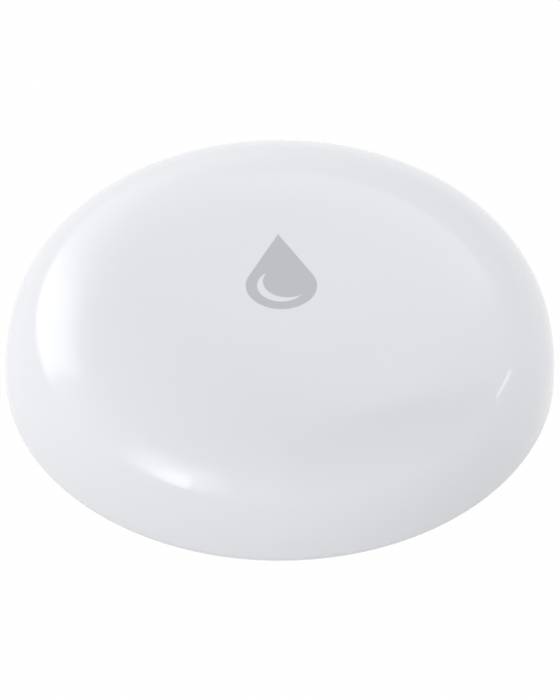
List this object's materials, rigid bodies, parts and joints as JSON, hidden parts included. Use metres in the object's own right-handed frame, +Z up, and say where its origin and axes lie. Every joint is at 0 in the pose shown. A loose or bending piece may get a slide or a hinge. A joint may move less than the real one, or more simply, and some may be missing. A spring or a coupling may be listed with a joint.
{
  "type": "water leak sensor",
  "caption": "Round pebble-shaped water leak sensor: a glossy domed cover with a press drop mark on a sealed base, screw-in floor probes, a radio board and a coin cell inside.",
  "frame": {"origin": "on the floor under the middle of the body, level with the bottoms of the feet", "axes": "+Z up through the crown, +Y towards the tip of the drop mark, X through the two probes"},
  "size_m": [0.05, 0.05, 0.015],
  "materials": {
    "shell": "polished white",
    "mark": "light grey inlay",
    "base": "fine-textured white",
    "silicone": "translucent grey silicone",
    "foam": "dark foam",
    "probe_steel": "stainless",
    "o_ring": "black rubber",
    "insert_brass": "turned",
    "board": "green solder mask",
    "screw_steel": "zinc plated",
    "cell_steel": "nickel plated",
    "cell_ring": "dark plastic",
    "cell_filling": "pressed powder",
    "clip_steel": "tinned spring steel",
    "contact_metal": "tinned bronze",
    "switch_plastic": "black",
    "switch_metal": "tinned sheet",
    "plunger": "white",
    "chip": "black resin",
    "crystal_can": "plated lid",
    "lamp": "clear resin",
    "capacitor": "tan with tinned ends",
    "resistor": "black with tinned ends"
  },
  "bodies": {
    "base": {"base_cover": "base", "seal_ring": "silicone", "battery_pad": "foam"},
    "core": {"top_shell": "shell", "drop_mark": "mark", "probe_insert_left": "insert_brass", "probe_insert_right": "insert_brass", "circuit_board": "board", "board_screws": "screw_steel", "battery_can": "cell_steel", "battery_gasket": "cell_ring", "battery_cap": "cell_steel", "battery_stack": "cell_filling", "battery_clip": "clip_steel", "battery_contact": "contact_metal", "switch_body": "switch_plastic", "switch_cover": "switch_metal", "switch_dome": "switch_metal", "switch_pins": "switch_metal", "radio_chip": "chip", "crystal": "crystal_can", "indicator_led": "lamp", "capacitors": "capacitor", "resistors": "resistor"},
    "plunger": {"switch_plunger": "plunger"},
    "left_seal": {"probe_seal_left": "o_ring"},
    "left_probe": {"probe_screw_left": "probe_steel"},
    "right_seal": {"probe_seal_right": "o_ring"},
    "right_probe": {"probe_screw_right": "probe_steel"}
  },
  "joints": [
    {"name": "cover_lift", "type": "slide", "parent": "base", "child": "core", "axis": [0, 0, 1], "range_m": [0, 0.02]},
    {"name": "button_press", "type": "slide", "parent": "core", "child": "plunger", "axis": [0, 0, -1], "range_m": [0, 0.00025], "stiffness_N_per_m": 6400, "deforming": ["switch_dome"]},
    {"name": "probe_out_left", "type": "slide", "parent": "base", "child": "left_seal", "axis": [0, 0, -1], "range_m": [0, 0.0036]},
    {"name": "probe_turn_left", "type": "hinge", "parent": "left_seal", "child": "left_probe", "pos_m": [-0.01445, 0, 0], "axis": [0, 0, -1], "range_deg": [0, 2880]},
    {"name": "probe_out_right", "type": "slide", "parent": "base", "child": "right_seal", "axis": [0, 0, -1], "range_m": [0, 0.0036]},
    {"name": "probe_turn_right", "type": "hinge", "parent": "right_seal", "child": "right_probe", "pos_m": [0.01445, 0, 0], "axis": [0, 0, -1], "range_deg": [0, 2880]}
  ],
  "couplings": [
    {"joint": "probe_turn_left", "follows": "probe_out_left", "rad_per_m": 13963},
    {"joint": "probe_turn_right", "follows": "probe_out_right", "rad_per_m": 13963}
  ]
}
